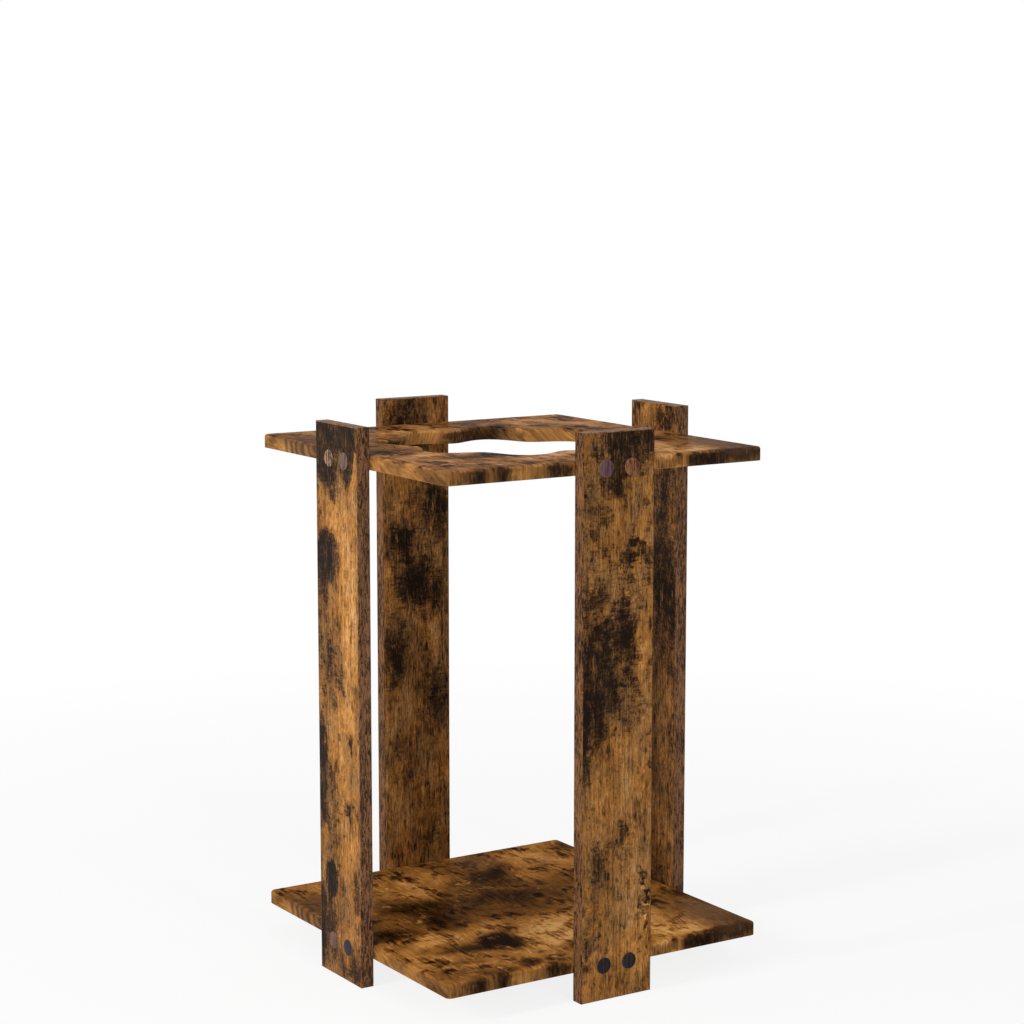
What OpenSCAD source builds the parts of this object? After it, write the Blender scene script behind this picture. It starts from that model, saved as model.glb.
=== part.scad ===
// Free-standing rack for eight rods: two square panels held by four flat uprights, in millimetres.
// The origin is on the floor under the middle of the rack. +Z is up and the front upright is on -Y.

/* [Uprights] */
// Height of each upright, which is the height of the rack
upright_h = 600; // [480:5:800]
// Width of each upright, edge bands included
upright_w = 89; // [76:1:120]
// Thickness of the board that the uprights are cut from
board_t = 15; // [12:0.5:19]
// Thickness of the edge bands glued round each upright
band_t = 1; // [0.5:0.1:2]

/* [Panels] */
// Side of both square panels
panel_side = 395; // [370:5:520]
// Thickness of both panels
panel_t = 15; // [14:0.5:22]
// Clear height between the floor and the underside of the base panel
base_gap = 30; // [12:1:90]
// Drop from the uprights' top ends to the top face of the top panel
top_drop = 30; // [12:1:90]
// Radius of the panels' corners, seen from above
corner_r = 6; // [4.5:0.5:16]
// Radius of the rounding along the panels' upper edges and round the opening
edge_r = 3; // [1:0.25:4]

/* [Opening] */
// Mean radius of the wavy opening in the top panel
opening_r = 123; // [105:1:140]
// Height of the waves, out into the rod places and in between them
wave_depth = 12; // [4:0.5:14]
// Number of rod places round the opening
rod_places = 8; // [4:4:12]

/* [Screws] */
// Distance between the two screws of a joint
screw_pitch = 32; // [26:1:44]
// Diameter of a screw's shank and of its thread
screw_d = 7; // [5:0.1:7.5]
// Diameter at the root of the thread
root_d = 4.6; // [3.5:0.1:4.8]
// Overall length of a screw
screw_l = 50; // [38:1:60]
// Diameter of the countersunk head
head_d = 10; // [8.5:0.1:12]
// Height of the straight rim of the head, above its cone
head_rim = 1; // [0.4:0.1:1.6]
// Depth of the head below the outer face of the upright
head_recess = 0.4; // [0.1:0.1:1]
// Size across the flats of the key socket
socket_af = 4; // [3:0.5:5]
// Depth of the key socket
socket_depth = 3; // [1.5:0.5:5]
// Distance from one ridge of the thread to the next
thread_pitch = 3; // [2:0.25:4]
// Length of the pointed tip
tip_l = 5; // [2:0.5:8]

/* [Cover caps] */
// Diameter of the round caps stuck over the screw heads
cap_d = 18; // [14:0.5:24]
// Thickness of a cap
cap_t = 0.6; // [0.4:0.1:1.4]

/* [Clearances] */
// Room all round a screw in its holes
screw_gap = 0.05; // [0.02:0.01:0.2]
// Room past the tip of a screw
tip_room = 1; // [0.5:0.5:4]

/* [Hidden] */
$fn = 48;
// Sides of the rack, each a quarter turn on from the one before
SIDES = ["front", "right", "back", "left"];
// Steps along one wave of the opening and up its rounded rim
WAVE_STEPS = 16;
RIM_STEPS = 3;
// How far a cutting shape runs past the face that it cuts
PAST = 1;

base_bottom = base_gap;
top_bottom = upright_h - top_drop - panel_t;
low_screws_z = base_bottom + panel_t / 2;
high_screws_z = top_bottom + panel_t / 2;
inner_face = panel_side / 2;
outer_face = inner_face + board_t;
corner_centre = panel_side / 2 - corner_r;
core_w = upright_w - 2 * band_t;
core_h = upright_h - 2 * band_t;
head_cone = (head_d - screw_d) / 2;
shank_end = board_t - head_recess;
ridges = floor((screw_l - tip_l - shank_end) / thread_pitch);

// Turns a piece made for the front to another side of the rack
module on_side(side) {
    rotate([0, 0, 90 * search([side], SIDES)[0]]) children();
}

// Places a copy on the axis of each of a joint's two screws, with its +Z pointing into the rack
module at_joint(side, z) {
    on_side(side)
        for (x = [-screw_pitch / 2, screw_pitch / 2])
            translate([x, -outer_face, z]) rotate([-90, 0, 0]) children();
}

// Section through a panel's edge, square below and rounded above, from the corner's centre outwards
module edge_section() {
    square([corner_r - edge_r, panel_t]);
    square([corner_r, panel_t - edge_r]);
    intersection() {
        translate([corner_r - edge_r, panel_t - edge_r]) circle(r = edge_r);
        translate([corner_r - edge_r, panel_t - edge_r]) square(edge_r);
    }
}

// Square panel with rounded corners and a rounded upper edge, its underside at z = 0
module slab() {
    translate([-corner_centre, -corner_centre, 0]) cube([2 * corner_centre, 2 * corner_centre, panel_t]);
    for (side = SIDES) on_side(side) {
        translate([corner_centre, corner_centre, 0]) rotate([90, 0, 0])
            linear_extrude(height = 2 * corner_centre) edge_section();
        translate([corner_centre, corner_centre, 0]) rotate_extrude(angle = 90) edge_section();
    }
}

// The hole that a screw has in the panel's edge, and its countersunk hole in the upright
module screw_hole(z) {
    for (side = SIDES) at_joint(side, z)
        cylinder(h = head_recess + screw_l + tip_room, d = screw_d + 2 * screw_gap);
}

module countersink() {
    through_r = screw_d / 2 + screw_gap;
    seat_r = head_d / 2 + screw_gap;
    seat_z = head_recess + head_rim;
    rotate_extrude() polygon([
        [0, -PAST], [seat_r, -PAST], [seat_r, seat_z],
        [through_r, seat_z + head_cone], [through_r, board_t + PAST], [0, board_t + PAST]
    ]);
}

// Wavy outline of the opening: its radius at an angle, and a point moved squarely out from it
function wave_r(a) = opening_r - wave_depth * cos(rod_places * a);
function wave_slope(a) = wave_depth * rod_places * sin(rod_places * a);
function wave_point(a, out) =
    let (r = wave_r(a), s = wave_slope(a), n = norm([r, s]))
    [r * cos(a) + out * (s * sin(a) + r * cos(a)) / n, r * sin(a) + out * (r * sin(a) - s * cos(a)) / n];

// Steps up the wall of the opening, as distance out from the wall and height: straight, then rounded
function rim_steps() = concat(
    [[0, -PAST]],
    [for (i = [0 : RIM_STEPS]) let (t = 90 * i / RIM_STEPS)
        [edge_r * (1 - cos(t)), panel_t - edge_r * (1 - sin(t))]],
    [[edge_r, panel_t + PAST]]
);

// What the opening takes out of the top panel, with the rounded rim at its top
module opening_cut() {
    n = WAVE_STEPS * rod_places;
    rim = rim_steps();
    last = len(rim) - 1;
    points = [
        for (step = rim) for (i = [0 : n - 1])
            let (p = wave_point(360 * i / n, step[0])) [p[0], p[1], step[1]]
    ];
    wall = [
        for (k = [0 : last - 1]) for (i = [0 : n - 1])
            let (j = (i + 1) % n, low = k * n, high = (k + 1) * n)
            each [[low + i, high + i, high + j], [low + i, high + j, low + j]]
    ];
    floor_face = [[for (i = [0 : n - 1]) i]];
    lid_face = [[for (i = [n - 1 : -1 : 0]) last * n + i]];
    polyhedron(points = points, faces = concat(wall, floor_face, lid_face), convexity = 10);
}

module top_panel() {
    color("peru") difference() {
        translate([0, 0, top_bottom]) slab();
        translate([0, 0, top_bottom]) opening_cut();
        screw_hole(high_screws_z);
    }
}

module base_panel() {
    color("peru") difference() {
        translate([0, 0, base_bottom]) slab();
        screw_hole(low_screws_z);
    }
}

// Board of an upright, without its bands, drilled for its four screws
module upright(side) {
    color("sienna") difference() {
        on_side(side) translate([-core_w / 2, -outer_face, band_t]) cube([core_w, board_t, core_h]);
        at_joint(side, low_screws_z) countersink();
        at_joint(side, high_screws_z) countersink();
    }
}

// Band along a long edge, seen from outside the rack: -1 is the left edge and 1 the right edge
module edge_band(side, hand) {
    color("rosybrown") on_side(side)
        translate([hand * (core_w + band_t) / 2 - band_t / 2, -outer_face, 0]) cube([band_t, board_t, upright_h]);
}

// Band across an end, between the two long bands
module end_band(side, z) {
    color("tan") on_side(side) translate([-core_w / 2, -outer_face, z]) cube([core_w, board_t, band_t]);
}

// Countersunk chipboard screw with its head at z = 0, a key socket, a plain shank and a ridged thread
module screw() {
    thread = [
        for (i = [0 : ridges - 1]) let (z = shank_end + i * thread_pitch)
            each [[root_d / 2, z + thread_pitch / 4], [screw_d / 2, z + thread_pitch / 2],
                  [root_d / 2, z + thread_pitch * 3 / 4]]
    ];
    difference() {
        rotate_extrude() polygon(concat(
            [[0, 0], [head_d / 2, 0], [head_d / 2, head_rim], [screw_d / 2, head_rim + head_cone]],
            [[screw_d / 2, shank_end], [root_d / 2, shank_end]],
            thread,
            [[root_d / 2, screw_l - tip_l], [0, screw_l]]
        ));
        translate([0, 0, -PAST]) cylinder(h = socket_depth + PAST, d = socket_af / cos(30), $fn = 6);
    }
}

module joint_screws(side, z) {
    color("silver") at_joint(side, z) translate([0, 0, head_recess]) screw();
}

// Thin round cap with an eased rim, stuck on the outer face over a screw head
module joint_caps(side, z) {
    ease = cap_t / 2;
    color("dimgray") at_joint(side, z) rotate_extrude() polygon([
        [0, 0], [cap_d / 2, 0], [cap_d / 2, -cap_t + ease], [cap_d / 2 - ease, -cap_t], [0, -cap_t]
    ]);
}

top_panel();
base_panel();

upright("front");  // front_upright
edge_band("front", -1);  // front_left_band
edge_band("front", 1);  // front_right_band
end_band("front", upright_h - band_t);  // front_top_band
end_band("front", 0);  // front_foot_band
joint_screws("front", high_screws_z);  // front_upper_screws
joint_screws("front", low_screws_z);  // front_lower_screws
joint_caps("front", high_screws_z);  // front_upper_caps
joint_caps("front", low_screws_z);  // front_lower_caps

upright("right");  // right_upright
edge_band("right", -1);  // right_left_band
edge_band("right", 1);  // right_right_band
end_band("right", upright_h - band_t);  // right_top_band
end_band("right", 0);  // right_foot_band
joint_screws("right", high_screws_z);  // right_upper_screws
joint_screws("right", low_screws_z);  // right_lower_screws
joint_caps("right", high_screws_z);  // right_upper_caps
joint_caps("right", low_screws_z);  // right_lower_caps

upright("back");  // back_upright
edge_band("back", -1);  // back_left_band
edge_band("back", 1);  // back_right_band
end_band("back", upright_h - band_t);  // back_top_band
end_band("back", 0);  // back_foot_band
joint_screws("back", high_screws_z);  // back_upper_screws
joint_screws("back", low_screws_z);  // back_lower_screws
joint_caps("back", high_screws_z);  // back_upper_caps
joint_caps("back", low_screws_z);  // back_lower_caps

upright("left");  // left_upright
edge_band("left", -1);  // left_left_band
edge_band("left", 1);  // left_right_band
end_band("left", upright_h - band_t);  // left_top_band
end_band("left", 0);  // left_foot_band
joint_screws("left", high_screws_z);  // left_upper_screws
joint_screws("left", low_screws_z);  // left_lower_screws
joint_caps("left", high_screws_z);  // left_upper_caps
joint_caps("left", low_screws_z);  // left_lower_caps
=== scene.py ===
"""Dresses a free-standing rod rack: two panels, four uprights, their edge bands, caps and screws."""

import math

import bmesh
import bpy
from bpy.props import FloatProperty, FloatVectorProperty, IntProperty, PointerProperty
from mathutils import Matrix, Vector


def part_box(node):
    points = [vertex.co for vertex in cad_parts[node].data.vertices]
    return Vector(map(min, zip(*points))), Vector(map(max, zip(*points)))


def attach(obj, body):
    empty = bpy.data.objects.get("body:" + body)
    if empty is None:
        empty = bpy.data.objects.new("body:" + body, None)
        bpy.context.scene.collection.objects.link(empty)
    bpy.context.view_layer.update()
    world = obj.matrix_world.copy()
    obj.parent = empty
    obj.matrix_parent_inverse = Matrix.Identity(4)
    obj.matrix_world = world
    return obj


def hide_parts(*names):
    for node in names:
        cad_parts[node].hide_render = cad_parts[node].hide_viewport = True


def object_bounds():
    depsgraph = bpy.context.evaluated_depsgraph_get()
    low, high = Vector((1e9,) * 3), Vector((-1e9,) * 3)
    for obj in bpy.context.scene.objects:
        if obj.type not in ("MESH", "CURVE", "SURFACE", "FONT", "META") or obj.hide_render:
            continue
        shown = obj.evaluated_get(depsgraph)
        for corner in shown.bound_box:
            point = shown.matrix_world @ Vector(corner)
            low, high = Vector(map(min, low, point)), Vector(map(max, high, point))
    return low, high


bl_info = {
    "name": "Rod Rack",
    "version": (1, 0, 0),
    "blender": (4, 5, 0),
    "location": "View3D > Sidebar > Rod Rack",
    "description": "Models and finishes a rack that holds eight rods upright",
    "category": "Object",
}

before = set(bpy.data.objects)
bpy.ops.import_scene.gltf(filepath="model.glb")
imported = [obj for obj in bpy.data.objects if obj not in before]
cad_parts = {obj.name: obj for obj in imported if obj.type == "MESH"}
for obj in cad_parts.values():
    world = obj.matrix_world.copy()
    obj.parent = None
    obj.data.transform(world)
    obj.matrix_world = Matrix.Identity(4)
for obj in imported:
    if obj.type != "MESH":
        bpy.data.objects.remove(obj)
CAD_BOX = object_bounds()

MM = 0.001
SIDES = ("front", "right", "back", "left")
QUARTER = math.pi / 2
# Spread of one octave of Blender's noise about its mean
OCTAVE_SPREAD = 0.125
# How far apart the noises of two neighbouring seeds are read along each axis, in metres
SEED_STEP = (0.373, 0.191, 0.527)
# Angle over which two faces meet in a sharp edge, and the one up to which the shading runs smoothly across
SHARP_ANGLE = math.radians(30)
SMOOTH_ANGLE = math.radians(35)
FRONT_LOW, FRONT_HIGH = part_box("front_upright")
BAND_LOW, BAND_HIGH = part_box("front_left_band")
TOP_LOW, TOP_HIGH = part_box("top_panel")
BASE_LOW, BASE_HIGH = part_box("base_panel")
HALF_WIDTH = -BAND_LOW.x
RACK_HIGH = BAND_HIGH.z
OUTER_FACE = FRONT_LOW.y
INNER_FACE = FRONT_HIGH.y


def share(red, green, blue):
    """A colour as it is seen on screen, 0 to 255, as the linear colour that a shader takes."""
    seen = (channel / 255 for channel in (red, green, blue))
    return tuple(c / 12.92 if c <= 0.04045 else ((c + 0.055) / 1.055) ** 2.4 for c in seen)


def colour(name, description, *seen):
    return FloatVectorProperty(
        name=name, description=description, default=share(*seen), subtype="COLOR", size=3, min=0, max=1)


def length(name, description, default):
    return FloatProperty(name=name, description=description, default=default, unit="LENGTH", min=0)


class RackShape(bpy.types.PropertyGroup):
    """Sizes that the frame's boxes don't give."""
    corner_radius: length("Corner", "Radius of the panels' corners, seen from above", 6 * MM)
    edge_radius: length("Upper edge", "Radius along the panels' upper edges and round the opening", 3 * MM)
    lower_ease: length("Lower edge", "Radius along the panels' lower edges", 0.5 * MM)
    opening_radius: length("Opening", "Mean radius of the wavy opening", 123 * MM)
    wave_depth: length("Waves", "Height of the waves round the opening", 12 * MM)
    rod_places: IntProperty(name="Rod places", description="Waves round the opening", default=8, min=3)
    band_ease: length("Band edges", "Radius along the outer edges of the edge bands", 0.6 * MM)
    cap_ease: length("Cap rims", "Radius round the outer rim of the cover caps", 0.28 * MM)


class PrintColours(bpy.types.PropertyGroup):
    """Inks of the printed wood film, from its scorched marks to its palest grain."""
    scorched: colour("Scorched", "Darkest marks in the print", 31, 20, 13)
    smoked: colour("Smoked", "Dark brown round the scorched marks", 65, 43, 24)
    brown: colour("Brown", "Mid brown of the print", 117, 80, 43)
    golden: colour("Golden", "Golden brown of the print", 166, 115, 60)
    tan: colour("Tan", "Pale grain of the print", 206, 156, 98)
    straw: colour("Straw", "Palest grain of the print", 230, 184, 126)


class StageLight(bpy.types.PropertyGroup):
    """Light and camera of the plain studio."""
    key: FloatProperty(name="Key", description="Power of the lamp on the left", default=80, unit="POWER")
    fill: FloatProperty(name="Fill", description="Power of the lamp in front", default=27, unit="POWER")
    overhead: FloatProperty(name="Overhead", description="Power of the lamp above", default=5, unit="POWER")
    room: FloatProperty(name="Room", description="Level of the light from all round", default=0.40, min=0)
    lens: FloatProperty(name="Lens", description="Focal length of the camera", default=87.81, unit="CAMERA")


class Wire:
    """An output socket whose operators add Math nodes, so that shader maths reads as an expression."""

    def __init__(self, nodes, socket):
        self.nodes = nodes
        self.socket = socket

    def __add__(self, other):
        return self.nodes.math("ADD", self, other)

    def __radd__(self, other):
        return self.nodes.math("ADD", other, self)

    def __sub__(self, other):
        return self.nodes.math("SUBTRACT", self, other)

    def __rsub__(self, other):
        return self.nodes.math("SUBTRACT", other, self)

    def __mul__(self, other):
        return self.nodes.math("MULTIPLY", self, other)

    def __rmul__(self, other):
        return self.nodes.math("MULTIPLY", other, self)


class Nodes:
    """A node tree under construction, emptied first."""

    def __init__(self, tree):
        self.tree = tree
        tree.nodes.clear()

    def add(self, kind, settings=None, inputs=None, output=0):
        """Adds a node: its settings first, then the values or wires of its inputs. Returns one output."""
        node = self.tree.nodes.new(kind)
        for name, value in (settings or {}).items():
            if name == "stops":
                self.set_stops(node.color_ramp.elements, value)
            else:
                setattr(node, name, value)
        self.feed(node, inputs or {})
        return Wire(self, node.outputs[output])

    def add_output(self, kind, surface):
        """Adds the tree's output node, which shows a surface."""
        output = self.tree.nodes.new(kind)
        self.feed(output, {"Surface": surface})
        return output

    def feed(self, node, inputs):
        """Links or sets a node's inputs, each named by its key or number."""
        for name, value in inputs.items():
            if isinstance(value, Wire):
                self.tree.links.new(value.socket, node.inputs[name])
            else:
                node.inputs[name].default_value = value

    @staticmethod
    def set_stops(elements, stops):
        """Gives a ramp its stops, as positions and linear colours."""
        while len(elements) < len(stops):
            elements.new(1)
        for element, (position, tint) in zip(elements, stops):
            element.position = position
            element.color = (*tint, 1)

    def math(self, operation, first, second=0.0, third=0.0):
        return self.add("ShaderNodeMath", {"operation": operation}, {0: first, 1: second, 2: third})

    def vector(self, operation, first, second):
        return self.add("ShaderNodeVectorMath", {"operation": operation}, {0: first, 1: second})

    def mix(self, amount, first, second, blend="MIX"):
        """Blends two colours, each a wire or a linear colour."""
        first, second = (c if isinstance(c, Wire) else (*c, 1) for c in (first, second))
        return self.add("ShaderNodeMix", {"data_type": "RGBA", "blend_type": blend},
                        {"Factor": amount, 6: first, 7: second}, output=2)


class Finish(Nodes):
    """A material under construction, with one Principled shader."""

    def __init__(self, name):
        self.material = bpy.data.materials.new(name)
        self.material.use_nodes = True
        super().__init__(self.material.node_tree)
        surface = self.add("ShaderNodeBsdfPrincipled")
        self.shader = surface.socket.node
        self.output = self.add_output("ShaderNodeOutputMaterial", surface)

    def shift(self, place, x=0.0, y=0.0, z=0.0):
        """Coordinates moved by a wire or a number along each axis."""
        return self.vector("ADD", place, self.add("ShaderNodeCombineXYZ", inputs={0: x, 1: y, 2: z}))

    def axis(self, place, number):
        """One coordinate: 0 for X, 1 for Y, 2 for Z."""
        return self.add("ShaderNodeSeparateXYZ", inputs={0: place}, output=number)

    def step(self, value, low, high):
        """Goes smoothly from 0 at low to 1 at high."""
        return self.add("ShaderNodeMapRange", {"interpolation_type": "SMOOTHSTEP"},
                        {"Value": value, "From Min": low, "From Max": high})

    def place(self, turn=0.0):
        """Object coordinates, turned back about Z by a side's angle, so that its board lies in front."""
        here = self.add("ShaderNodeTexCoord", output=3)
        return self.add("ShaderNodeMapping", inputs={"Vector": here, "Rotation": (0, 0, -turn)})

    def local(self, place, centre, size, lean=0.0):
        """Coordinates from a centre, counted in sizes along each axis."""
        return self.add("ShaderNodeMapping", {"vector_type": "TEXTURE"},
                        {"Vector": place, "Location": centre, "Rotation": (0, lean, 0), "Scale": size})

    def noise(self, place, size, seed, detail=4, roughness=0.55):
        """Noise about 0 with a spread of 1, its largest features as large as size along each axis."""
        spot = self.local(place, [seed * step for step in SEED_STEP], size)
        grain = self.add("ShaderNodeTexNoise", inputs={
            "Vector": spot, "Scale": 1.0, "Detail": detail, "Roughness": roughness})
        octaves = [roughness ** octave for octave in range(detail + 1)]
        spread = OCTAVE_SPREAD * math.hypot(*octaves) / sum(octaves)
        return (grain - 0.5) * (1 / spread)

    def patch(self, place, centre, half):
        """A soft round mark: 1 at its centre and 0 past its half sizes."""
        return self.add("ShaderNodeTexGradient", {"gradient_type": "SPHERICAL"},
                        {"Vector": self.local(place, centre, half)}, output=1)

    def marks(self, place, marks, to_place):
        """The sum of soft marks, each a tuple of two places and two half sizes in mm, and a strength."""
        total = 0.0
        for across, along, half_across, half_along, strength in marks:
            centre, half = to_place(across * MM, along * MM, half_across * MM, half_along * MM)
            total = self.math("MULTIPLY_ADD", self.patch(place, centre, half), strength, total)
        return total

    def finish(self, base, roughness, bump, strength, specular):
        """Feeds the shader. Bump is a height in metres."""
        normal = self.add("ShaderNodeBump", inputs={"Height": bump, "Distance": 1.0, "Strength": strength})
        self.feed(self.shader, {
            "Base Color": base, "Roughness": roughness, "Normal": normal, "Specular IOR Level": specular})
        return self.material


# Marks of the print on the faces of the uprights, in mm: across from the left, down from the top, half sizes
# across and down, and strength. Each list is for a face as someone who looks at it sees it.
SCORCHED_AND_SHADE = {
    ("front", "outer"): (
        (46, 8, 25, 40, 1.4), (44, 48, 17, 30, 1.1), (78, 12, 36, 44, 0.8), (14, 75, 36, 110, 0.45),
        (64, 122, 20, 20, 0.5), (48, 142, 22, 16, 0.35), (84, 140, 10, 26, 0.5), (56, 165, 34, 22, 0.35),
        (66, 117, 8, 8, 0.9), (75, 122, 6, 8, 0.9), (58, 129, 7, 6, 0.8), (63, 136, 9, 5, 0.8),
        (51, 141, 7, 5, 0.8), (80, 470, 6, 11, 0.9), (83, 491, 6, 9, 0.9), (76, 506, 6, 9, 0.8),
        (82, 524, 6, 10, 0.9),
        (10, 172, 26, 20, 0.4), (12, 250, 38, 115, 1.0), (54, 212, 30, 36, 1.1), (50, 265, 34, 40, 0.55),
        (62, 300, 26, 20, 0.3), (3, 322, 10, 60, 0.9), (52, 428, 10, 14, 0.6),
        (8, 537, 20, 14, 0.55), (6, 565, 12, 10, 0.5), (40, 440, 40, 40, 0.15), (16, 478, 30, 60, 0.35)),
    ("left", "outer"): (
        (18, 8, 54, 36, 1.7), (70, 6, 36, 30, 1.5), (71, 36, 13, 34, 1.1), (16, 46, 24, 28, 0.7),
        (42, 44, 36, 24, 0.6), (26, 66, 26, 24, 0.35), (50, 64, 50, 30, 0.25),
        (22, 142, 34, 40, 1.6), (12, 186, 18, 36, 0.5), (22, 235, 36, 44, 0.4), (26, 280, 40, 36, 0.4),
        (3, 372, 19, 68, 1.9), (24, 385, 20, 50, 0.4), (8, 424, 36, 18, 0.5), (62, 412, 34, 14, 0.4),
        (71, 339, 7, 13, 2.3), (27, 493, 17, 25, 1.9), (10, 545, 30, 60, 0.7), (2, 550, 11, 90, 1.0),
        (1, 130, 12, 180, 0.35), (80, 585, 22, 36, 0.7),
        (34, 570, 30, 30, 0.4), (84, 495, 20, 34, 0.45), (50, 585, 34, 28, 0.4), (24, 450, 40, 40, 0.25),
        (50, 525, 40, 40, 0.3), (64, 420, 6, 8, 0.9), (76, 412, 5, 7, 0.9)),
    # On the right and back uprights' inner faces the marks are in part print and in part painted shade,
    # darkening these faces between the panels
    ("right", "inner"): (
        (68, 18, 34, 24, 0.8), (62, 95, 60, 80, 0.55), (72, 165, 34, 34, 0.5), (62, 215, 40, 60, 0.8),
        (82, 235, 20, 46, 0.5), (70, 290, 50, 60, 0.35), (84, 380, 14, 90, 0.3), (20, 150, 40, 80, 0.6),
        (30, 420, 24, 60, 0.3), (60, 420, 40, 60, 0.2), (60, 560, 60, 40, 0.25)),
    ("back", "inner"): (
        (30, 40, 40, 60, 0.9), (70, 130, 34, 50, 0.8), (22, 165, 30, 34, 0.9), (50, 220, 44, 44, 1.0),
        (15, 300, 26, 60, 0.8), (70, 350, 30, 60, 0.6), (25, 430, 34, 40, 0.3), (60, 520, 26, 40, 0.3)),
}
GOLDEN = {
    ("front", "outer"): (
        (24, 100, 26, 60, 0.12), (80, 110, 16, 60, 0.25), (80, 235, 12, 60, 0.45), (50, 185, 24, 12, 0.2),
        (66, 380, 26, 50, 0.25), (24, 400, 30, 60, 0.1), (64, 500, 26, 70, 0.2), (70, 545, 18, 46, 0.4),
        (60, 475, 12, 40, 0.25), (79, 480, 4, 5, 1.2), (84, 499, 4, 5, 1.2), (78, 513, 4, 5, 1.2),
        (84, 531, 3, 5, 1.0), (50, 143, 8, 4, 1.4), (59, 167, 5, 4, 1.3), (66, 174, 4, 3, 0.8),
        (11, 163, 7, 3, 1.0)),
    ("left", "outer"): (
        (84, 40, 8, 30, 0.6), (60, 110, 34, 70, 0.45), (74, 210, 26, 90, 0.55), (60, 300, 30, 60, 0.35),
        (44, 350, 26, 50, 0.35), (60, 460, 30, 60, 0.3), (20, 85, 26, 40, 0.2), (60, 540, 26, 50, 0.15)),
    ("right", "inner"): (
        (60, 60, 40, 40, 0.2), (66, 300, 24, 60, 0.15), (68, 450, 30, 100, 0.2)),
    ("back", "inner"): ((20, 90, 24, 40, 0.2), (60, 270, 24, 30, 0.2), (40, 480, 40, 60, 0.15)),
}
# Where short traces of the saw run across the grain
WORN = {
    ("front", "outer"): (
        (56, 215, 50, 110, 1.0), (60, 135, 40, 50, 0.8), (80, 490, 12, 60, 1.2), (10, 190, 40, 60, 0.6),
        (50, 430, 34, 40, 0.4), (50, 330, 50, 60, 0.4)),
    ("left", "outer"): (
        (28, 270, 40, 60, 0.8), (62, 412, 36, 26, 1.0), (24, 210, 30, 50, 0.5), (30, 420, 40, 30, 0.6),
        (26, 130, 36, 50, 0.3)),
    ("right", "inner"): ((64, 200, 50, 90, 0.9), (70, 540, 26, 60, 0.7)),
    ("back", "inner"): ((44, 190, 60, 110, 0.9),),
}
# The faces whose marks are used again on the other four
HIDDEN_FACES = {
    ("front", "inner"): ("left", "outer"), ("left", "inner"): ("front", "outer"),
    ("right", "outer"): ("front", "outer"), ("back", "outer"): ("left", "outer"),
}
# Marks of the print on top of both panels, in mm: across from the left, down from the back edge towards the
# front one, half sizes across and down, and strength
# The first three marks darken a band across the middle: in part print, in part painted shadow of the left
# upright on the base; the top panel takes them too
PANEL_SCORCHED_AND_SHADOW = (
    (130, 150, 90, 46, 0.50), (120, 200, 80, 40, 0.32), (240, 165, 90, 60, 0.45), (38, 222, 36, 26, 1.0),
    (20, 60, 46, 50, 0.3), (150, 60, 100, 70, 0.12), (88, 132, 30, 40, 0.5), (96, 205, 24, 50, 0.6),
    (126, 302, 30, 36, 1.5),
    (92, 306, 54, 17, 0.8), (58, 294, 44, 20, 0.45), (112, 374, 22, 20, 1.2), (138, 377, 8, 11, 0.8),
    (74, 386, 34, 18, 0.5), (20, 378, 42, 26, 0.3), (192, 360, 28, 26, 0.95), (300, 350, 9, 8, 0.9),
    (240, 384, 36, 18, 0.6), (262, 72, 40, 34, 0.7),
    (222, 100, 54, 42, 0.75), (384, 24, 24, 28, 0.6), (386, 200, 22, 36, 0.4), (386, 262, 22, 28, 0.6),
    (60, 340, 50, 12, 0.4), (30, 262, 24, 14, 0.4), (150, 266, 18, 14, 0.4), (345, 394, 50, 8, 0.45),
    (386, 376, 20, 26, 0.5), (368, 325, 54, 90, 0.25), (392, 300, 14, 60, 0.6))
PANEL_GOLDEN = (
    (145, 60, 60, 60, 0.1), (145, 60, 18, 12, 0.5), (40, 300, 60, 40, 0.2), (200, 305, 64, 64, 0.75),
    (175, 340, 50, 50, 0.5), (290, 362, 56, 50, 0.5), (70, 262, 60, 26, 0.35), (280, 290, 60, 60, 0.4),
    (60, 350, 60, 20, 0.3), (335, 335, 30, 40, 0.3),
    (290, 160, 40, 50, 0.35), (340, 60, 60, 50, 0.1), (330, 375, 30, 30, 0.4))
# Where the panels' print turns smooth and greyish
PANEL_SMOKY = (
    (372, 340, 58, 84, 1.1), (255, 30, 34, 40, 0.8), (330, 75, 34, 28, 0.5), (26, 60, 40, 44, 0.5),
    (16, 180, 30, 40, 0.5))
# Marks along the panels' side faces, in mm: across from the left, down from the top edge, half sizes across
# and down, and strength
FRONT_EDGE_SCORCHED = (
    (4, 8, 16, 16, 0.2), (34, 10, 24, 20, 0.9), (66, 10, 13, 20, 0.9), (84, 9, 16, 20, -0.3),
    (110, 8, 22, 16, 0.3), (137, 10, 22, 20, 1.0), (190, 8, 30, 18, 0.4), (270, 9, 34, 20, -0.6),
    (302, 10, 18, 20, 1.3), (324, 10, 28, 20, 1.0), (352, 10, 28, 20, 0.8), (386, 10, 30, 20, 0.8))
LEFT_EDGE_SCORCHED = ((228, 8, 30, 18, 0.6), (388, 12, 30, 18, 0.6))
# Growth rings over the panels' left edge, in mm down the side and along it from its left end: their middle,
# the half sizes of their field, the stretch of their pattern, and where along the side they fade out
RINGS_MIDDLE = (6, 130)
RINGS_EXTENT = (48, 92)
RINGS_STRETCH = (22, 44)
RINGS_FADE = (144, 156)
# How far aside the print of the panels' undersides is read, in metres, so that it isn't that of their tops
UNDERSIDE_SHIFT = (0.7, 0.9)
# Distances from a panel's faces between which its print folds over the edges, and those over its underside
# between which the print of the underside begins
FOLD = (MM, 4 * MM)
UNDER_FOLD = (0.2 * MM, 0.6 * MM)
# Distances from a panel's middle: up to the first, its side faces are the opening's wall, and past the second
# they are the outer ones
WALL_REACH = (150 * MM, 160 * MM)
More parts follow.
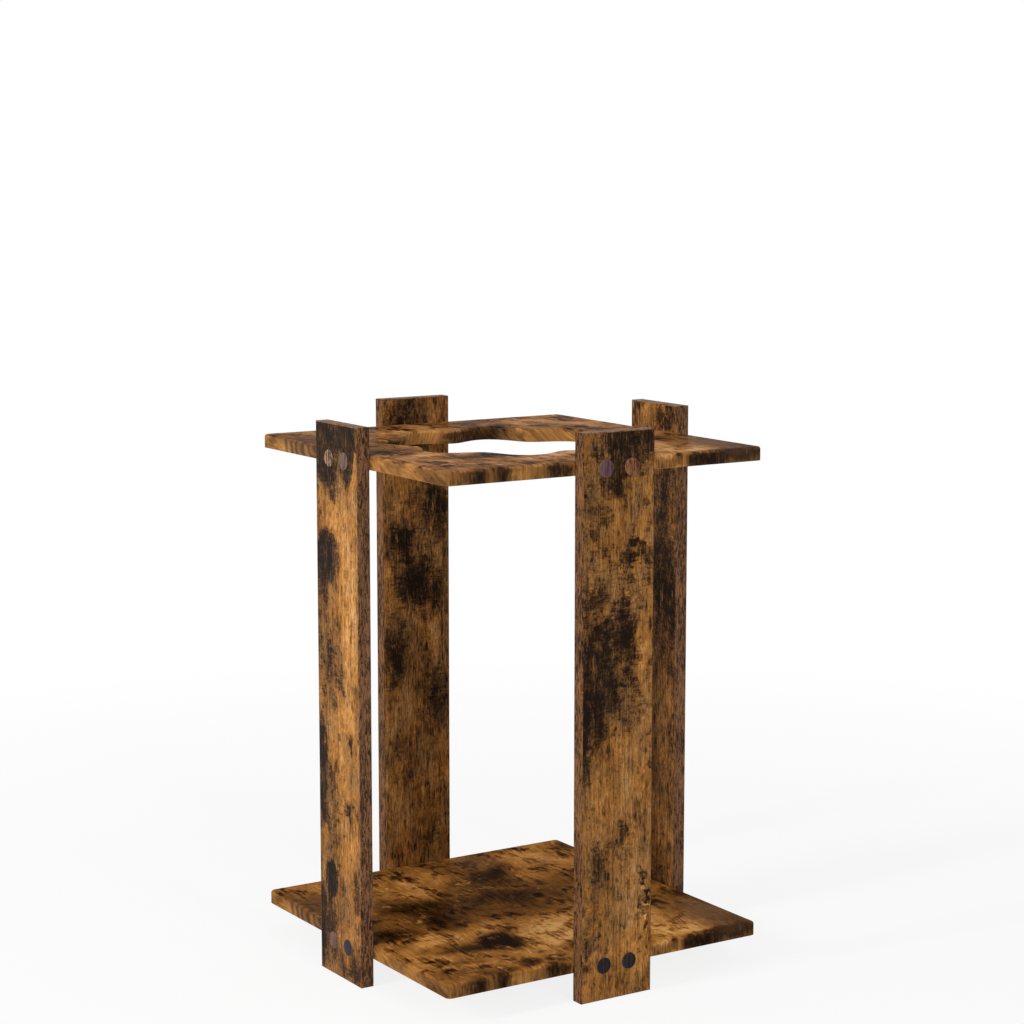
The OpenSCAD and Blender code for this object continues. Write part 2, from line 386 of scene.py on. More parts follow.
# The look of each panel's top, most of it painted light: a cast that multiplies its print, honey on the base
# for the warm light under the top panel and a greyish rose on the top panel for its sheen, how much its tone
# is lifted for the light on it, the share by which its marks are fainter as painted sheen, and the weight of
# its coat
PANEL_COAT_AND_PAINTED_LIGHT = {
    "base": {"cast": (1.0, 0.87, 0.62), "lift": 0.04, "fainter": 0.0, "coat": 0.02},
    "top": {"cast": (0.90, 0.80, 0.83), "lift": 0.03, "fainter": 0.3, "coat": 0.08},
}
# Greyish brown that the panels' print takes on where it is smoky
SMOKY_INK = share(106, 78, 58)
# Multiply the print on the uprights where it is coolest and where it is warmest
BOARD_CASTS = ((0.93, 0.99, 1.16), (1.07, 1.0, 0.88))
# The tone of the print's palest grain, where scorched is 0 and tan is 1
PALEST_TONE = 1.2


def print_ramp(finish, tone):
    """The film's inks over a tone from 0, scorched, past 1, tan, to the palest grain."""
    inks = bpy.context.scene.rack_print
    tones = (
        (0.02, inks.scorched), (0.27, inks.smoked), (0.52, inks.brown), (0.76, inks.golden), (1.0, inks.tan),
        (PALEST_TONE, inks.straw))
    stops = [(position / PALEST_TONE, ink) for position, ink in tones]
    return finish.add("ShaderNodeValToRGB", {"stops": stops}, {"Fac": tone * (1 / PALEST_TONE)})


def board_print(side):
    """Smoked oak film on an upright: grain upright, scorched marks listed for each face."""
    number = SIDES.index(side)
    film = Finish(f"{side}_board_film")
    straight = film.place(number * QUARTER)
    sway = film.noise(straight, (0.05, 0.0015, 0.16), 3 + number, 2)
    here = film.shift(straight, sway * (0.8 * MM))

    def on_face(face, places):
        """Turns a mark's place on the picture of a face into its centre and half sizes on the board."""
        outer = face == "outer"

        def to_place(across, down, half_across, half_down):
            x = across - HALF_WIDTH if outer else HALF_WIDTH - across
            y = OUTER_FACE if outer else INNER_FACE
            return (x, y, RACK_HIGH - down), (half_across, 10 * MM, half_down)

        source = (side, face) if (side, face) in places else HIDDEN_FACES[side, face]
        return places[source], to_place

    ragged = film.shift(
        here, film.noise(straight, (0.012, 0.0015, 0.02), 11 + number, 4, 0.6) * (2 * MM), 0.0,
        film.noise(straight, (0.012, 0.0015, 0.02), 21 + number, 4, 0.6) * (4 * MM))
    scorch_and_shade_bias = sum(film.marks(ragged, *on_face(face, SCORCHED_AND_SHADE)) for face in ("outer", "inner"))
    golden_bias = sum(film.marks(ragged, *on_face(face, GOLDEN)) for face in ("outer", "inner"))
    worn = sum(film.marks(ragged, *on_face(face, WORN)) for face in ("outer", "inner"))

    # Grain, from broad drifts down to single threads, pores and traces of the saw
    drift = film.noise(here, (0.028, 0.0015, 0.07), 31 + number, 3)
    mottle = film.noise(here, (0.012, 0.0015, 0.018), 41 + number, 6, 0.68)
    fibre = film.noise(here, (0.0030, 0.0015, 0.04), 51 + number, 3, 0.65)
    thread = film.noise(here, (0.0014, 0.0015, 0.008), 61 + number, 2, 0.6)
    vein = film.noise(here, (0.0021, 0.0015, 0.09), 101 + number, 1)
    dash = film.noise(here, (0.0018, 0.0015, 0.005), 71 + number, 2)
    saw = film.noise(here, (0.012, 0.0015, 0.0020), 81 + number, 3, 0.6)

    # Marks with ragged edges: a brown halo and a scorched core
    haze = film.noise(here, (0.017, 0.0015, 0.032), 111 + number, 4, 0.62)
    edge = mottle * 0.17 + fibre * 0.11 + thread * 0.06 + drift * 0.06
    halo = film.step(scorch_and_shade_bias + edge + haze * 0.08, -0.15, 0.58)
    core = film.step(scorch_and_shade_bias + edge * 1.2 + saw * 0.08, 0.30, 0.74)
    hatch = film.step(saw + mottle * 0.5, 0.3, 1.5) * worn
    grained = film.step(drift + mottle * 0.3, -1.5, 1.5)
    lines = film.step(vein, 0.2, 1.5) * (0.04 + grained * 0.12)
    pores = film.step(dash, 0.9, 2.2)
    speck = film.noise(here, (0.0024, 0.0015, 0.0034), 121 + number, 1)
    beside_marks = film.step(scorch_and_shade_bias + haze * 0.1, 0.0, 0.35)
    specks = (film.step(speck, 0.9, 1.7) * 0.2 - film.step(speck, -1.1, -1.9) * 0.12) * beside_marks
    # The inner faces get a stronger grain and, as painted shade between the panels, a slightly lower tone
    inside = film.step(film.axis(straight, 1), INNER_FACE - MM, INNER_FACE)
    grain = drift * 0.05 + haze * 0.07 + mottle * 0.065 + fibre * 0.075 + thread * 0.075
    tone = (0.765 + golden_bias * 0.4 + grain * (1 + inside * 0.4) - halo * 0.36 - core * 0.30 - hatch * 0.16
            - specks - lines - pores * 0.14 - inside * 0.04)
    warm = film.noise(here, (0.024, 0.0015, 0.05), 131 + number, 4, 0.6)
    warmth = film.step(warm * 0.7 + golden_bias * 2.5 - scorch_and_shade_bias * 1.2, -1.3, 1.3)
    cast = film.mix(warmth, BOARD_CASTS[0], BOARD_CASTS[1])
    tint = film.mix(1.0, print_ramp(film, tone), cast, "MULTIPLY")
    height = (fibre * 0.4 + thread * 0.4 - pores) * (0.01 * MM)
    roughness = 0.5 + thread * 0.02 - core * 0.06
    return film.finish(tint, roughness, height, 1.0, 0.03)


def folded_out(film, place, high):
    """Lays a panel's film flat, which is folded down over the edges and into the opening.

    Down the outer side faces the print moves outwards, and down the opening's wall inwards. The panel's
    underside is at height 0. Returns the coordinates and a wire that is 1 on the underside.
    """
    height_above = film.axis(place, 2)
    below = 1 - film.step(height_above, *UNDER_FOLD)
    reaches = [film.axis(place, number) for number in (0, 1)]
    from_middle = film.math("SQRT", reaches[0] * reaches[0] + reaches[1] * reaches[1])
    in_opening = 1 - film.step(from_middle, *WALL_REACH)

    def moved(reach, end):
        past_edge = film.step(film.math("ABSOLUTE", reach), end - FOLD[1], end - FOLD[0])
        outwards = film.math("SIGN", reach) * past_edge - film.math("DIVIDE", reach, from_middle) * in_opening
        return outwards * (high.z - height_above) * (1 - below)

    return film.shift(place, moved(reaches[0], high.x), moved(reaches[1], high.y), 0 - height_above), below


def growth_rings(film, place, along, low, high):
    """Returns where the growth rings show on a panel's left edge, and the dark arches among them."""
    middle = (low.x - RINGS_MIDDLE[0] * MM, high.y - RINGS_MIDDLE[1] * MM, 0)
    stretched = film.local(place, middle, (RINGS_STRETCH[0] * MM, RINGS_STRETCH[1] * MM, 1))
    ring = film.add(
        "ShaderNodeTexWave", {"wave_type": "RINGS", "rings_direction": "SPHERICAL"},
        {"Vector": stretched, "Scale": 1.0, "Distortion": 1.6, "Detail": 2.0}, output=1)
    field = film.patch(place, middle, (RINGS_EXTENT[0] * MM, RINGS_EXTENT[1] * MM, 1))
    before_end = film.step(along, high.y - RINGS_FADE[1] * MM, high.y - RINGS_FADE[0] * MM)
    ringed = film.step(field, 0.0, 0.25) * before_end
    return ringed, ringed * film.step(ring, 0.3, 0.9)


def panel_print(which, low, high):
    """Smoked oak film on a panel: cloudy flames, their grain from front to back, folded over its edges."""
    film = Finish(f"{which}_panel_film")
    look = PANEL_COAT_AND_PAINTED_LIGHT[which]
    thickness = high.z - low.z
    place = film.shift(film.place(), z=-low.z)
    flat, below = folded_out(film, place, Vector((high.x, high.y, thickness)))
    on_top = film.step(film.axis(place, 2), thickness - FOLD[1], thickness - FOLD[0])
    on_side = 1 - on_top
    aside, along = UNDERSIDE_SHIFT
    straight = film.shift(flat, below * aside, below * along)
    bent = film.shift(
        straight, film.noise(straight, (0.050, 0.080, 1), 13, 2, 0.5) * (2.2 * MM),
        film.noise(straight, (0.050, 0.080, 1), 16, 2, 0.5) * (3 * MM))
    curled = film.shift(
        bent, film.noise(bent, (0.007, 0.012, 1), 14, 2, 0.5) * (0.8 * MM),
        film.noise(bent, (0.007, 0.012, 1), 17, 2, 0.5) * (1.2 * MM))
    ragged = film.shift(curled, below * -aside, below * -along)

    def to_top(across, down, half_across, half_down):
        return (low.x + across, high.y - down, 0), (half_across, half_down, 1)

    def to_front(across, down, half_across, half_down):
        return (low.x + across, low.y - down, 0), (half_across, half_down, 1)

    def to_left(across, down, half_across, half_down):
        return (low.x - down, high.y - across, 0), (half_down, half_across, 1)

    scorch_and_shade_bias = (
        film.marks(ragged, PANEL_SCORCHED_AND_SHADOW, to_top) + film.marks(ragged, FRONT_EDGE_SCORCHED, to_front)
        + film.marks(ragged, LEFT_EDGE_SCORCHED, to_left))
    golden_bias = film.marks(ragged, PANEL_GOLDEN, to_top)
    smoky = film.marks(ragged, PANEL_SMOKY, to_top)

    # Grain, from broad drifts down to single threads, and the veins between the flames
    drift = film.noise(bent, (0.060, 0.060, 1), 41, 3)
    cloud = film.noise(curled, (0.024, 0.030, 1), 51, 5, 0.60)
    mottle = film.noise(curled, (0.0085, 0.012, 1), 61, 4, 0.60)
    fibre = film.noise(bent, (0.0024, 0.036, 1), 71, 3, 0.6)
    thread = film.noise(bent, (0.0013, 0.012, 1), 81, 2, 0.6)
    fold = film.noise(curled, (0.011, 0.030, 1), 91, 2, 0.5)
    veined = film.step(film.noise(bent, (0.03, 0.03, 1), 93, 2), -0.2, 1.2)
    vein = (1 - film.step(film.math("ABSOLUTE", fold), 0.0, 0.28)) * veined
    strokes = film.noise(straight, (0.0030, 0.020, 1), 101, 4, 0.65) * on_side

    # The left edge carries growth rings in a calmer grain that runs aslant
    on_left = film.step(film.axis(place, 0), low.x + FOLD[1], low.x + FOLD[0]) * on_side
    tilted = film.add("ShaderNodeMapping", inputs={"Vector": bent, "Rotation": (0, 0, 0.35)})
    slant = film.noise(tilted, (0.0035, 0.018, 1), 111, 4, 0.62)
    over_edge = film.shift(flat, cloud * (0.8 * MM), drift * (1.6 * MM))
    ringed, arches = growth_rings(film, over_edge, film.axis(place, 1), low, high)

    # Marks with ragged edges: a brown halo and a scorched core, both held off by the golden places
    edge = (cloud * (on_top * 0.13 + 0.13) + mottle * (on_top * 0.04 + 0.10) + drift * 0.06 + strokes * 0.10
            + (fibre * 0.07 + thread * 0.04) * on_top)
    cleared = golden_bias * 0.3
    halo = film.step(scorch_and_shade_bias + edge - cleared, -0.15, 0.7)
    core = film.step(scorch_and_shade_bias + edge * 1.1 - cleared, 0.30, 0.85)
    grain = drift * 0.12 + cloud * 0.18 + mottle * 0.12 + fibre * 0.09 + thread * 0.05
    calm = 1 - smoky * 0.2 - on_side * 0.5
    # Painted light on the top faces: their tone lifted for the light on them, their marks fainter as painted
    # sheen
    depth = 1 - on_top * look["fainter"]
    flamed = (0.70 + on_top * look["lift"] + golden_bias * 0.55 + grain * calm
              - vein * on_top * 0.05 + strokes * 0.06 - (halo * 0.38 + core * 0.29) * depth - arches * 0.19)
    plain = (0.65 + drift * 0.05 + cloud * 0.05 + slant * 0.06 - film.step(scorch_and_shade_bias, 0.0, 0.6) * 0.2
             - ringed * 0.03 - arches * 0.33)
    tone = flamed + (plain - flamed) * (on_left * 0.9)
    tint = film.mix(smoky * 0.8 + ringed * 0.4, print_ramp(film, tone), SMOKY_INK)
    # Painted light: the top faces take the panel's cast, warm light on the base and sheen on the top panel
    tint = film.mix(on_top * 0.8 * (1 - smoky * 0.6), tint, look["cast"], "MULTIPLY")
    height = (fibre * 0.4 + thread * 0.4) * (0.004 * MM)
    film.feed(film.shader, {"Coat Weight": look["coat"], "Coat Roughness": 0.22})
    roughness = 0.5 + thread * 0.02
    return film.finish(tint, roughness, height, 1.0, 0.0)


# Dark and pale ink of the edge bands: along the front and back uprights, along the left and right ones, and
# across all their ends
DARK_BAND = (share(34, 21, 13), share(134, 92, 58))
BROWN_BAND = (share(54, 35, 24), share(140, 100, 69))
END_BAND = (share(98, 70, 49), share(142, 106, 76))
# Size of the streaks along each axis, in metres, on the long bands and on the end bands
LONG_GRAIN = (0.0015, 0.0015, 0.014)
END_GRAIN = (0.005, 0.005, 0.005)


def band_print(name, inks, grain, seed):
    """Streaky print of the edge bands."""
    film = Finish(name)
    here = film.place()
    wave = film.noise(here, (0.006, 0.006, 0.012), seed, 2)
    bent = film.shift(here, wave * (0.5 * MM), wave * (0.5 * MM))
    streak = film.noise(bent, grain, seed + 1, 4, 0.6)
    thread = film.noise(bent, tuple(axis * 0.4 for axis in grain), seed + 2, 3)
    drift = film.noise(here, (0.02, 0.02, 0.05), seed + 3, 3)
    amount = film.step(streak * 0.75 + thread * 0.35 + drift * 0.3, -1.5, 1.5)
    height = (streak + thread) * (0.006 * MM)
    return film.finish(film.mix(amount, *inks), 0.55 + thread * 0.02, height, 1.0, 0.05)


# Pale and dark ink of the left and the right cap of each pair
CAP_PRINTS = {
    ("front", "upper"): (((108, 80, 80), (72, 50, 58)), ((146, 98, 64), (84, 50, 36))),
    ("front", "lower"): (((50, 42, 43), (33, 25, 29)), ((52, 44, 45), (33, 25, 29))),
    ("left", "upper"): (((170, 132, 94), (58, 45, 45)), ((116, 92, 82), (72, 55, 52))),
    ("left", "lower"): (((114, 84, 74), (74, 52, 50)), ((56, 46, 54), (36, 28, 38))),
    ("right", "upper"): (((116, 92, 82), (72, 55, 52)), ((108, 80, 80), (72, 50, 58))),
    ("right", "lower"): (((56, 46, 54), (36, 28, 38)), ((50, 42, 43), (33, 25, 29))),
    ("back", "upper"): (((146, 98, 64), (84, 50, 36)), ((146, 116, 84), (62, 48, 48))),
    ("back", "lower"): (((52, 44, 45), (33, 25, 29)), ((114, 84, 74), (74, 52, 50))),
}


def cap_print(side, level):
    """Print of the stick-on caps: each its own two inks, streaked along the board, and a thin pale rim:
    painted highlight along the edge and the paler cut edge of the film.
    """
    number = SIDES.index(side)
    film = Finish(f"{side}_{level}_cap_film")
    here = film.place(number * QUARTER)
    low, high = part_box(f"front_{level}_caps")
    radius = (high.z - low.z) / 2
    middles = [(x, low.y, low.z + radius) for x in (low.x + radius, high.x - radius)]
    across = film.axis(here, 0)
    on_right = film.step(across, -MM, MM)
    from_middle = across - middles[0][0] - on_right * (middles[1][0] - middles[0][0])
    streak = film.noise(here, (0.0028, 0.05, 0.03), 91 + number, 3, 0.6)
    fleck = film.noise(here, (0.0012, 0.05, 0.003), 95 + number, 3)
    amount = film.step(streak * 0.8 + fleck * 0.35 - from_middle * (1.0 / radius), -1.2, 1.2)
    tints = [film.mix(amount, share(*dark), share(*pale)) for pale, dark in CAP_PRINTS[side, level]]
    # A thin pale rim round each cap: painted highlight along its edge, and the paler cut edge of its film
    inward = sum(film.patch(here, middle, (2 * radius,) * 3) for middle in middles)
    rim = 1 - film.step(inward, 0.5, 0.54)
    tint = film.mix(rim * 0.45, film.mix(on_right, *tints), share(150, 124, 96))
    return film.finish(tint, 0.5 + fleck * 0.02, streak * (0.004 * MM), 1.0, 0.06)


def zinc():
    """Brushed zinc of the screws, turned round their axes and slightly dulled."""
    metal = Finish("screw_zinc")
    here = metal.place()
    dull = metal.noise(here, (0.004, 0.004, 0.004), 7, 4)
    turned = metal.noise(here, (0.0003, 0.0003, 0.0003), 8, 2)
    metal.feed(metal.shader, {"Metallic": 1.0})
    base = metal.mix(metal.step(dull, -1.6, 1.6), share(178, 180, 184), share(214, 216, 218))
    return metal.finish(base, 0.32 + dull * 0.03, turned * (0.002 * MM), 1.0, 0.5)


def select_nothing():
    """Leaves edit mode, if need be, with nothing selected."""
    if bpy.context.object and bpy.context.object.mode != "OBJECT":
        bpy.ops.object.mode_set(mode="OBJECT")
    bpy.ops.object.select_all(action="DESELECT")


def make_active(piece):
    select_nothing()
    piece.select_set(True)
    bpy.context.view_layer.objects.active = piece


def named(piece, name):
    piece.name = piece.data.name = name
    return piece


def settle(piece):
    """Moves a piece's place into its mesh."""
    make_active(piece)
    bpy.ops.object.transform_apply(location=True, rotation=True, scale=True)
    return piece


def add_block(name, low, high):
    """A block between two corners, ready to be shaped."""
    select_nothing()
    bpy.ops.mesh.primitive_cube_add(size=1, location=(low + high) / 2, scale=high - low)
    return settle(named(bpy.context.object, name))


def select_edges(piece, wanted):
    """Goes into edit mode with the sharp edges selected whose two ends are a wanted pair."""
    make_active(piece)
    bpy.ops.object.mode_set(mode="EDIT")
    bpy.ops.mesh.select_mode(type="EDGE")
    bpy.ops.mesh.select_all(action="DESELECT")
    mesh = bmesh.from_edit_mesh(piece.data)
    for edge in mesh.edges:
        sharp = edge.calc_face_angle(0) > SHARP_ANGLE
        edge.select = sharp and wanted(edge.verts[0].co, edge.verts[1].co)
    bmesh.update_edit_mesh(piece.data)


def ease_edges(piece, wanted, radius, segments):
    """Rounds the edges whose two ends are both wanted."""
    select_edges(piece, lambda first, second: wanted(first) and wanted(second))
    bpy.ops.mesh.bevel(offset=radius, segments=segments, profile=0.5, affect="EDGES")
    bpy.ops.object.mode_set(mode="OBJECT")


def near(value, target):
    return abs(value - target) < 0.05 * MM


def smooth(piece):
    """Smooths the shading over rounded edges and keeps the flat faces flat."""
    make_active(piece)
    cut_up = piece.modifiers.new("Triangles", "TRIANGULATE")
    cut_up.min_vertices = 5
    bpy.ops.object.modifier_apply(modifier=cut_up.name)
    bpy.ops.object.shade_smooth_by_angle(angle=SMOOTH_ANGLE)
    flat = piece.modifiers.new("Flat faces", "WEIGHTED_NORMAL")
    flat.keep_sharp = True
    bpy.ops.object.modifier_apply(modifier=flat.name)


def hand_over(piece, material, slot, *nodes):
    """Gives a finished piece its material and its body, and hides the CAD nodes that it stands for; the slot
    is not used.
    """
    piece.data.materials.clear()
    piece.data.materials.append(material)
    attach(piece, "root")
    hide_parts(*nodes)


def dress(node, material):
    """Gives a CAD node that keeps its shape its material."""
    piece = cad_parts[node]
    piece.data.materials.clear()
    piece.data.materials.append(material)


def on_sides(piece, names):
    """Returns the front piece and its copies on the other three sides, each with its own mesh."""
    copies = [named(piece, names[0])]
    for quarter, name in enumerate(names[1:], start=1):
        make_active(piece)
        bpy.ops.object.duplicate()
        twin = named(bpy.context.object, name)
        bpy.ops.transform.rotate(value=-quarter * QUARTER, orient_axis="Z", center_override=(0, 0, 0))
        copies.append(settle(twin))
    return copies


def rounded_slab(name, low, high):
    """A square board with rounded corners, its long edges still sharp."""
    shape = bpy.context.scene.rack_shape
    slab = add_block(name, low, high)
    select_edges(slab, lambda first, second: near(first.x, second.x) and near(first.y, second.y))
    bpy.ops.mesh.bevel(offset=shape.corner_radius, segments=8, profile=0.5, affect="EDGES")
    bpy.ops.object.mode_set(mode="OBJECT")
    return slab


def quarter_faces(panel):
    """Splits a panel's faces along four planes through the Z axis, so that no face runs round the opening."""
    make_active(panel)
    bpy.ops.object.mode_set(mode="EDIT")
    for eighth in range(4):
        angle = eighth * math.pi / 4
        bpy.ops.mesh.select_all(action="SELECT")
        bpy.ops.mesh.bisect(plane_co=(0, 0, 0), plane_no=(math.cos(angle), math.sin(angle), 0))
    bpy.ops.object.mode_set(mode="OBJECT")


def finish_panel(panel, low, high, material, node):
    """Rounds the upper edges, eases the lower ones and hands the panel over."""
    shape = bpy.context.scene.rack_shape
    ease_edges(panel, lambda corner: near(corner.z, high.z), shape.edge_radius, 6)
    ease_edges(panel, lambda corner: near(corner.z, low.z), shape.lower_ease, 2)
    smooth(panel)
    hand_over(panel, material, "panel", node)


def wave_cutter(low, high):
    """The plug that cuts the wavy opening: a round plug, drawn in and out in equal waves."""
    shape = bpy.context.scene.rack_shape
    steps = 32
    select_nothing()
    bpy.ops.mesh.primitive_cylinder_add(
        vertices=steps * shape.rod_places, radius=shape.opening_radius, depth=3 * (high.z - low.z),
        location=(0, 0, (low.z + high.z) / 2))
    cutter = settle(bpy.context.object)
    for step in range(steps // 2 + 1):
        height = math.cos(step * 2 * math.pi / steps)
        bpy.ops.object.mode_set(mode="EDIT")
        bpy.ops.mesh.select_mode(type="VERT")
        bpy.ops.mesh.select_all(action="DESELECT")
        mesh = bmesh.from_edit_mesh(cutter.data)
        for corner in mesh.verts:
            angle = math.atan2(corner.co.y, corner.co.x)
            corner.select = abs(math.cos(shape.rod_places * angle) - height) < 1e-3
        mesh.select_flush(True)
        bmesh.update_edit_mesh(cutter.data)
        drawn = 1 - height * shape.wave_depth / shape.opening_radius
        bpy.ops.transform.resize(value=(drawn, drawn, 1), center_override=(0, 0, 0))
        bpy.ops.object.mode_set(mode="OBJECT")
    return cutter


class RACK_OT_base_panel(bpy.types.Operator):
    """Model the lower panel that the rods stand on"""
    bl_idname = "rack.base_panel"
    bl_label = "Base Panel"

    def execute(self, context):
        panel = rounded_slab("base_board", BASE_LOW, BASE_HIGH)
        finish_panel(panel, BASE_LOW, BASE_HIGH, panel_print("base", BASE_LOW, BASE_HIGH), "base_panel")
        return {"FINISHED"}


class RACK_OT_top_panel(bpy.types.Operator):
    """Model the upper panel with its wavy opening"""
    bl_idname = "rack.top_panel"
    bl_label = "Top Panel"

    def execute(self, context):
        panel = rounded_slab("top_board", TOP_LOW, TOP_HIGH)
        quarter_faces(panel)
        cutter = wave_cutter(TOP_LOW, TOP_HIGH)
        make_active(panel)
        cut = panel.modifiers.new("Opening", "BOOLEAN")
        cut.operation = "DIFFERENCE"
        cut.object = cutter
        bpy.ops.object.modifier_apply(modifier=cut.name)
        bpy.data.objects.remove(cutter)
        finish_panel(panel, TOP_LOW, TOP_HIGH, panel_print("top", TOP_LOW, TOP_HIGH), "top_panel")
        return {"FINISHED"}


class RACK_OT_uprights(bpy.types.Operator):
    """Put the printed film on the four upright boards"""
    bl_idname = "rack.uprights"
    bl_label = "Uprights"

    def execute(self, context):
        for side in SIDES:
            dress(f"{side}_upright", board_print(side))
        return {"FINISHED"}


class RACK_OT_long_bands(bpy.types.Operator):
    """Model the edge bands along the uprights' long edges"""
    bl_idname = "rack.long_bands"
    bl_label = "Long Edge Bands"

    def execute(self, context):
        shape = context.scene.rack_shape
        dark = band_print("dark_band_film", DARK_BAND, LONG_GRAIN, 5)
        brown = band_print("brown_band_film", BROWN_BAND, LONG_GRAIN, 9)
        for hand in ("left", "right"):
            low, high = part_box(f"front_{hand}_band")
            outside = low.x if hand == "left" else high.x
            band = add_block("band", low, high)
            ease_edges(band, lambda corner: near(corner.x, outside), shape.band_ease, 3)
            smooth(band)
            names = [f"{side}_{hand}_edge_band" for side in SIDES]
            for side, piece in zip(SIDES, on_sides(band, names)):
                film = dark if side in ("front", "back") else brown
                hand_over(piece, film, "edge_band", f"{side}_{hand}_band")
        return {"FINISHED"}


class RACK_OT_end_bands(bpy.types.Operator):
    """Model the edge bands across the uprights' top ends and feet"""
    bl_idname = "rack.end_bands"
    bl_label = "End Bands"

    def execute(self, context):
        shape = context.scene.rack_shape
        film = band_print("end_band_film", END_BAND, END_GRAIN, 15)
        for end in ("top", "foot"):
            low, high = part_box(f"front_{end}_band")
            outside = high.z if end == "top" else low.z
            band = add_block("band", low, high)
            ease_edges(band, lambda corner: near(corner.z, outside), shape.band_ease, 3)
            smooth(band)
            names = [f"{side}_{end}_end_band" for side in SIDES]
            for side, piece in zip(SIDES, on_sides(band, names)):
                hand_over(piece, film, "edge_band", f"{side}_{end}_band")
        return {"FINISHED"}


class RACK_OT_cover_caps(bpy.types.Operator):
    """Model the round stick-on caps over the screws"""
    bl_idname = "rack.cover_caps"
    bl_label = "Cover Caps"

    def execute(self, context):
        shape = context.scene.rack_shape
        for level in ("upper", "lower"):
            low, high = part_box(f"front_{level}_caps")
            radius = (high.z - low.z) / 2
            discs = []
            for x in (low.x + radius, high.x - radius):
                select_nothing()
                bpy.ops.mesh.primitive_cylinder_add(
                    vertices=72, radius=radius, depth=high.y - low.y,
                    location=(x, (low.y + high.y) / 2, (low.z + high.z) / 2), rotation=(QUARTER, 0, 0))
                discs.append(settle(bpy.context.object))
            make_active(discs[0])
            discs[1].select_set(True)
            bpy.ops.object.join()
            ease_edges(discs[0], lambda corner: near(corner.y, low.y), shape.cap_ease, 3)
            smooth(discs[0])
            names = [f"{side}_{level}_cover_caps" for side in SIDES]
            for side, piece in zip(SIDES, on_sides(discs[0], names)):
                hand_over(piece, cap_print(side, level), "cover_cap", f"{side}_{level}_caps")
        return {"FINISHED"}


class RACK_OT_screws(bpy.types.Operator):
    """Put zinc on the screws that hold the uprights to the panels"""
    bl_idname = "rack.screws"
    bl_label = "Screws"

    def execute(self, context):
        metal = zinc()
        for side in SIDES:
            for level in ("upper", "lower"):
                dress(f"{side}_{level}_screws", metal)
        return {"FINISHED"}


# Edge of the square floor and how far out it shows the rack's shadow, in metres
FLOOR_SIZE = 30
SHADOW_REACH = 1.6
# How much of the shadow shows, from 0 to 1
SHADOW_SHARE = 0.15
# Places and sizes of the lamps, in metres
KEY_PLACE = (-3.2, -0.12, 1.7)
FILL_PLACE = (-0.1, -3.2, 1.5)
SIDE_LAMP = (0.4, 1.0)
OVERHEAD_PLACE = (0, -0.2, 2.6)
OVERHEAD_LAMP = (1.4, 1.4)
# Place of the camera, in metres, and its angles down and to the right of the Y axis, in degrees
CAMERA_PLACE = (-1.4565, -2.2843, 0.8830)
CAMERA_DOWN = 8.244
CAMERA_RIGHT = 32.63


def seen_directly(nodes):
    """1 for rays that show the background, 0 for those that light the rack."""
    rays = [nodes.add("ShaderNodeLightPath", output=name) for name in (
        "Is Camera Ray", "Is Glossy Ray", "Is Transmission Ray")]
    return nodes.math("MINIMUM", rays[0] + rays[1] + rays[2], 1.0)


def floor_paint():
    """White floor that shows as pure white and keeps a share of the rack's shadow."""
    paint = Finish("floor_paint")
    under_rack = paint.patch(paint.place(), (0, 0, 0), (SHADOW_REACH,) * 3)
    white = (0.86, 0.86, 0.86, 1)
    paint.feed(paint.shader, {"Base Color": white, "Roughness": 0.9, "Specular IOR Level": 0.1})
    glow = paint.add("ShaderNodeEmission", inputs={"Color": (1, 1, 1, 1), "Strength": 1.0})
    shown = seen_directly(paint) * (1 - paint.math("MINIMUM", under_rack * 1.6, 1.0) * SHADOW_SHARE)
    lit = Wire(paint, paint.shader.outputs[0])
    mixed = paint.add("ShaderNodeMixShader", inputs={0: shown, 1: lit, 2: glow})
    paint.feed(paint.output, {"Surface": mixed})
    return paint.material


def add_lamp(name, place, size, power):
    """A flat soft lamp that points at the middle of the rack."""
    middle = (CAD_BOX[0] + CAD_BOX[1]) / 2
    bpy.ops.object.light_add(type="AREA", location=place)
    lamp = bpy.context.object
    lamp.name = lamp.data.name = name
    lamp.data.shape = "RECTANGLE"
    lamp.data.size, lamp.data.size_y = size
    lamp.data.energy = power
    lamp.rotation_euler = (middle - Vector(place)).to_track_quat("-Z", "Y").to_euler()


def add_room_light(level):
    """World that lights at the given level and shows as white."""
    world = bpy.data.worlds.new("studio")
    world.use_nodes = True
    bpy.context.scene.world = world
    room = Nodes(world.node_tree)
    strength = seen_directly(room) * (1 - level) + level
    light = room.add("ShaderNodeBackground", inputs={"Color": (1, 1, 1, 1), "Strength": strength})
    room.add_output("ShaderNodeOutputWorld", light)


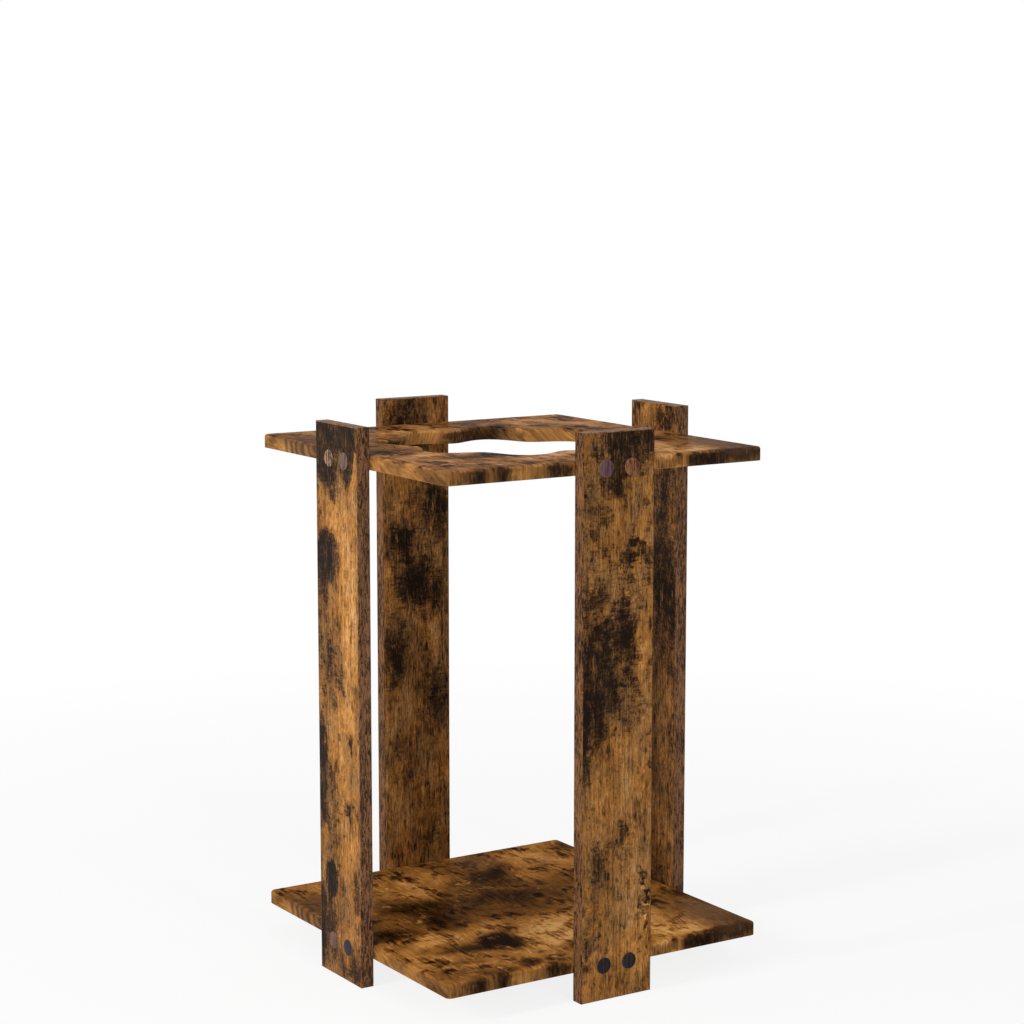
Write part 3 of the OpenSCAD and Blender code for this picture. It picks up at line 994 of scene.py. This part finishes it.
class RACK_OT_stage(bpy.types.Operator):
    """Set up the white floor, the soft lamps, the room light and the camera"""
    bl_idname = "rack.stage"
    bl_label = "Stage"

    def execute(self, context):
        light = context.scene.rack_light
        select_nothing()
        bpy.ops.mesh.primitive_plane_add(size=FLOOR_SIZE)
        floor = bpy.context.object
        floor.name = "studio_floor"
        floor.data.materials.append(floor_paint())
        add_lamp("key_lamp", KEY_PLACE, SIDE_LAMP, light.key)
        add_lamp("fill_lamp", FILL_PLACE, SIDE_LAMP, light.fill)
        add_lamp("overhead_lamp", OVERHEAD_PLACE, OVERHEAD_LAMP, light.overhead)
        add_room_light(light.room)
        bpy.ops.object.camera_add(
            location=CAMERA_PLACE, rotation=(math.radians(90 - CAMERA_DOWN), 0, -math.radians(CAMERA_RIGHT)))
        camera = bpy.context.object
        camera.data.lens = light.lens
        camera.data.sensor_width = 36
        context.scene.camera = camera
        context.scene.view_settings.view_transform = "Standard"
        return {"FINISHED"}


class RACK_PT_sidebar(bpy.types.Panel):
    """Lists the rack's pieces and its stage"""
    bl_label = "Rod Rack"
    bl_idname = "RACK_PT_sidebar"
    bl_space_type = "VIEW_3D"
    bl_region_type = "UI"
    bl_category = "Rod Rack"

    def draw(self, context):
        scene = context.scene
        for group in (scene.rack_shape, scene.rack_print, scene.rack_light):
            column = self.layout.column()
            for name in type(group).__annotations__:
                column.prop(group, name)
        for operator in OPERATORS:
            self.layout.operator(operator.bl_idname)


GROUPS = {"rack_shape": RackShape, "rack_print": PrintColours, "rack_light": StageLight}
OPERATORS = (
    RACK_OT_stage, RACK_OT_base_panel, RACK_OT_top_panel, RACK_OT_uprights, RACK_OT_long_bands,
    RACK_OT_end_bands, RACK_OT_cover_caps, RACK_OT_screws)


def register():
    for cls in (*GROUPS.values(), *OPERATORS, RACK_PT_sidebar):
        bpy.utils.register_class(cls)
    for name, group in GROUPS.items():
        setattr(bpy.types.Scene, name, PointerProperty(type=group))


def unregister():
    for name in GROUPS:
        delattr(bpy.types.Scene, name)
    for cls in reversed((*GROUPS.values(), *OPERATORS, RACK_PT_sidebar)):
        bpy.utils.unregister_class(cls)


def main():
    register()
    bpy.ops.rack.stage()
    bpy.ops.rack.base_panel()
    bpy.ops.rack.top_panel()
    bpy.ops.rack.uprights()
    bpy.ops.rack.long_bands()
    bpy.ops.rack.end_bands()
    bpy.ops.rack.cover_caps()
    bpy.ops.rack.screws()


if __name__ == "__main__":
    main()
